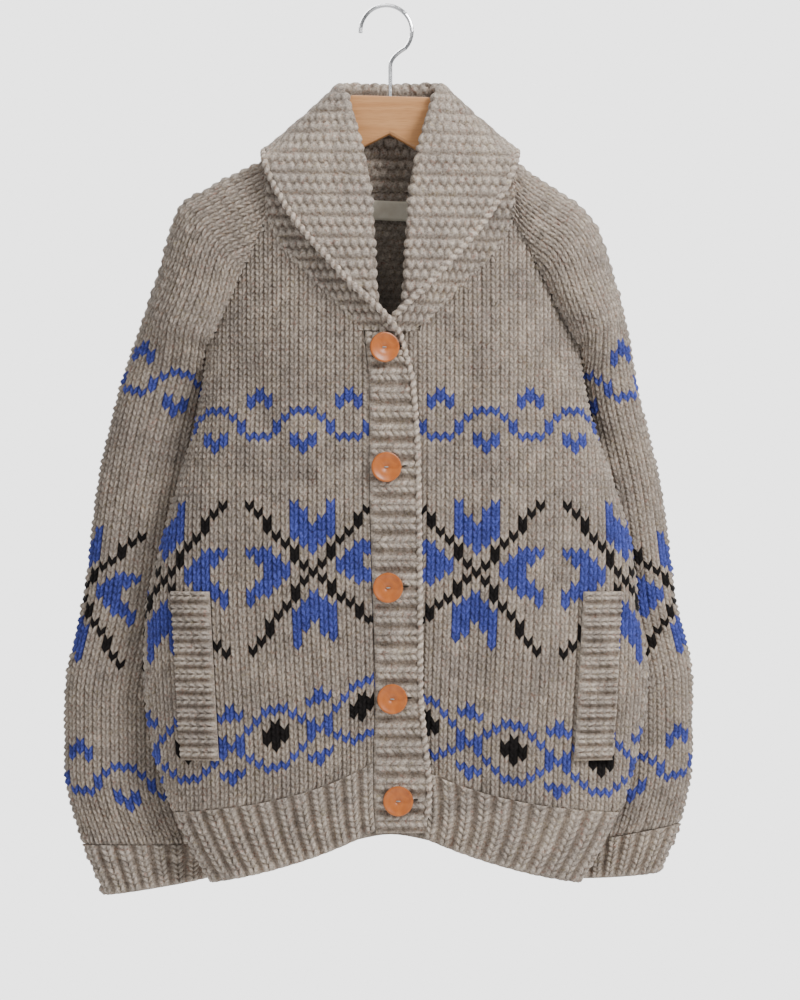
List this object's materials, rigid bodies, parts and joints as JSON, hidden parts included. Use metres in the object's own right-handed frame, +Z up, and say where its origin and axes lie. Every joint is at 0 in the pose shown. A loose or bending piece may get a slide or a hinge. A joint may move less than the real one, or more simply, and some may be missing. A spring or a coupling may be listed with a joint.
{
  "type": "knitted shawl-collar cardigan on a wooden hanger",
  "caption": "Hand-knitted raglan cardigan with shawl collar, buttoned rib band, ribbed pocket welts, cuffs and hem, hanging on a wooden hanger with a steel hook.",
  "frame": {"origin": "the inner top of the hook's bend, where the rail would touch it", "axes": "+Z up, the front of the cardigan towards -Y, the wearer's left towards +X"},
  "size_m": [0.609, 0.1245, 0.8598],
  "materials": {
    "wool": "heathered grey-beige wool, chunky stocking and garter stitch, with blue and black motifs",
    "rib_wool": "heathered grey-beige wool in two-by-two rib",
    "button": "satin orange-brown, turned, with a raised rim and a shallow well",
    "label": "woven cream tape, bare",
    "wood": "clear satin lacquer on pale beech",
    "steel": "polished steel wire"
  },
  "bodies": {
    "root": {"back": "wool", "front_right": "wool", "front_left": "wool", "sleeve_right": "wool", "sleeve_left": "wool", "collar": "wool", "cuff_right": "rib_wool", "cuff_left": "rib_wool", "hem_back": "rib_wool", "hem_front_right": "rib_wool", "hem_front_left": "rib_wool", "band_over": "rib_wool", "band_under": "rib_wool", "pocket_welt_right": "rib_wool", "pocket_welt_left": "rib_wool", "button_1": "button", "button_2": "button", "button_3": "button", "button_4": "button", "button_5": "button", "label": "label", "hanger": "wood", "hook": "steel"}
  },
  "joints": []
}
